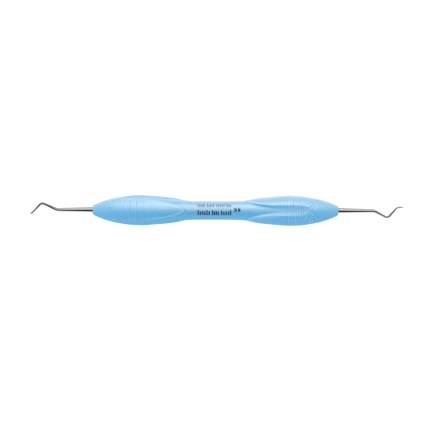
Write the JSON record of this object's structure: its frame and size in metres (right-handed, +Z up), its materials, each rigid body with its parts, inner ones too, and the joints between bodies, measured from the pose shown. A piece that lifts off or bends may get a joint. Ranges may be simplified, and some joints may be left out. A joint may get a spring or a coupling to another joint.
{
  "type": "hand scaler",
  "caption": "Double-ended dental hand scaler: bent steel shanks with sickle blades pressed into a soft spindle-shaped grip with finger pads.",
  "frame": {"origin": "on the handle's axis, at the middle of the plain waist between the two grip bulges", "axes": "+X along the handle towards the tip whose hook lies in the drawing plane, +Z up as the instrument lies on its side"},
  "size_m": [0.1665, 0.0137, 0.0136],
  "materials": {
    "silicone": "satin",
    "core_plastic": "matte",
    "socket_steel": "satin",
    "tip_steel": "polished",
    "ink": "matte"
  },
  "bodies": {
    "root": {"silicone_grip": "silicone", "handle_core": "core_plastic", "left_socket": "socket_steel", "right_socket": "socket_steel", "left_tip": "tip_steel", "right_tip": "tip_steel", "printed_marking": "ink"}
  },
  "joints": []
}
